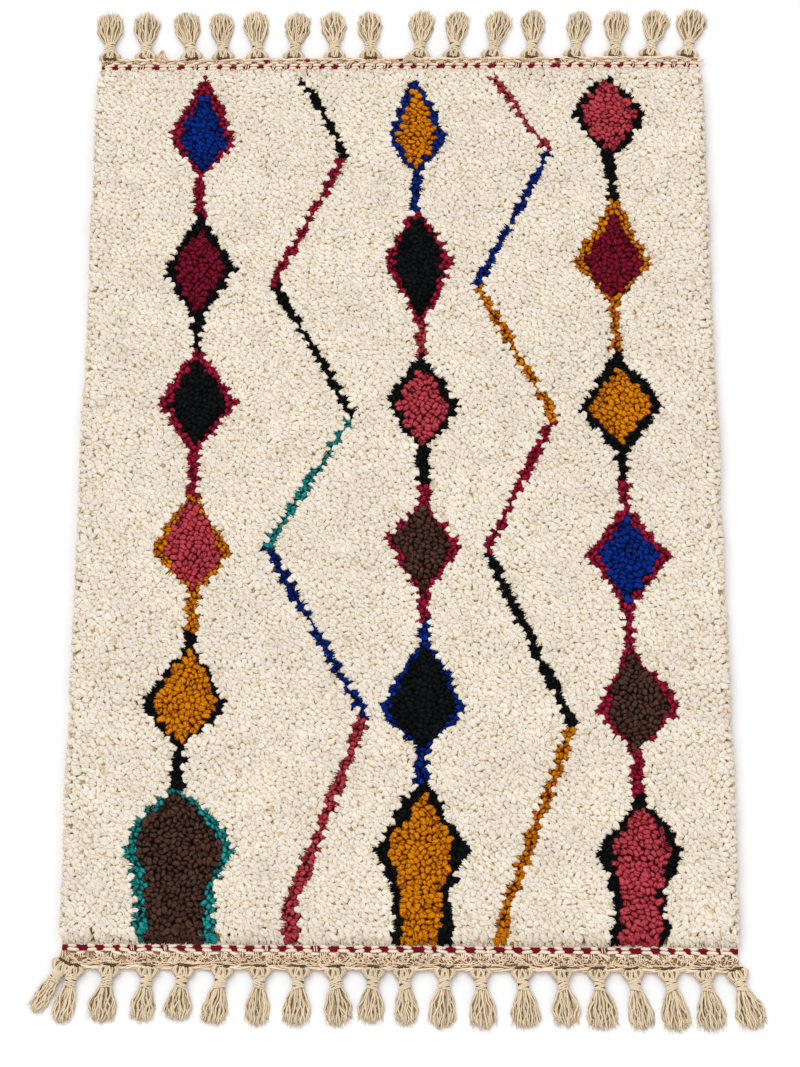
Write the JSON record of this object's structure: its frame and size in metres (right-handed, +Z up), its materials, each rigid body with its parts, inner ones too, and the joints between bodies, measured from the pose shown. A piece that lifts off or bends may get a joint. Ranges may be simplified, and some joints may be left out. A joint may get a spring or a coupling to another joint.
{
  "type": "beni ourain rug",
  "caption": "Rectangular hand-knotted wool rug with a thick pile of lozenge columns and zigzags, flat-woven ends, twined edging and wrapped tassels, lying flat.",
  "frame": {"origin": "middle of the rug's footprint, on the floor it lies on", "axes": "+Y along the rug to its far end, +X to the right of someone standing at the near end, +Z up out of the pile"},
  "size_m": [1.0846, 1.7405, 0.0229],
  "materials": {
    "pile_wool": "undyed cream hand-knotted wool pile",
    "twined_wool": "red and cream twined wool yarn",
    "tassel_wool": "undyed tan plied wool yarn"
  },
  "bodies": {
    "root": {"rug_cloth": "pile_wool", "twined_edge_near": "twined_wool", "twined_edge_far": "twined_wool", "tassel_near_01": "tassel_wool", "tassel_near_02": "tassel_wool", "tassel_near_03": "tassel_wool", "tassel_near_04": "tassel_wool", "tassel_near_05": "tassel_wool", "tassel_near_06": "tassel_wool", "tassel_near_07": "tassel_wool", "tassel_near_08": "tassel_wool", "tassel_near_09": "tassel_wool", "tassel_near_10": "tassel_wool", "tassel_near_11": "tassel_wool", "tassel_near_12": "tassel_wool", "tassel_near_13": "tassel_wool", "tassel_near_14": "tassel_wool", "tassel_near_15": "tassel_wool", "tassel_near_16": "tassel_wool", "tassel_near_17": "tassel_wool", "tassel_near_18": "tassel_wool", "tassel_near_19": "tassel_wool", "tassel_near_20": "tassel_wool", "tassel_far_01": "tassel_wool", "tassel_far_02": "tassel_wool", "tassel_far_03": "tassel_wool", "tassel_far_04": "tassel_wool", "tassel_far_05": "tassel_wool", "tassel_far_06": "tassel_wool", "tassel_far_07": "tassel_wool", "tassel_far_08": "tassel_wool", "tassel_far_09": "tassel_wool", "tassel_far_10": "tassel_wool", "tassel_far_11": "tassel_wool", "tassel_far_12": "tassel_wool", "tassel_far_13": "tassel_wool", "tassel_far_14": "tassel_wool", "tassel_far_15": "tassel_wool", "tassel_far_16": "tassel_wool"}
  },
  "joints": []
}
